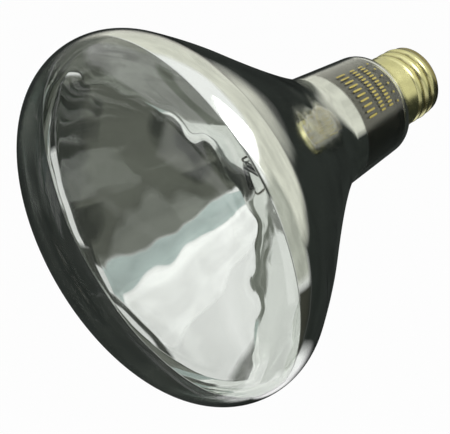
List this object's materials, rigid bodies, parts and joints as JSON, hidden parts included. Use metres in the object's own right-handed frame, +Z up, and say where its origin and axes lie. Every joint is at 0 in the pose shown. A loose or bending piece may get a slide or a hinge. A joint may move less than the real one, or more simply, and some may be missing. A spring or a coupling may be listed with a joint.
{
  "type": "flood light bulb",
  "caption": "Reflector flood lamp with a clear domed glass face, a mirrored paraboloid and neck, a filament mount inside and a brass medium screw base.",
  "frame": {"origin": "the tip of the centre contact, on the lamp's axis, where lamp lengths are measured from", "axes": "+Y along the lamp's axis towards the base, so the face looks along -Y; +Z up; +X to the right of someone who looks at the face"},
  "size_m": [0.127, 0.153, 0.127],
  "materials": {
    "clear_glass": "clear blown glass",
    "mirror_film": "bright metal film",
    "lead_metal": "drawn nickel wire",
    "filament_metal": "dark coiled tungsten",
    "brass": "rolled, bright with dull grooves",
    "cement": "dull cement",
    "black_glass": "opaque black glass",
    "solder": "dull solder"
  },
  "bodies": {
    "root": {"glass_bulb": "clear_glass", "reflector_coating": "mirror_film", "glass_stem": "clear_glass", "lead_wire_centre": "lead_metal", "lead_wire_side": "lead_metal", "filament": "filament_metal", "base_shell": "brass", "basing_cement": "cement", "base_insulator": "black_glass", "centre_contact": "brass", "contact_solder": "solder", "side_solder": "solder"}
  },
  "joints": []
}
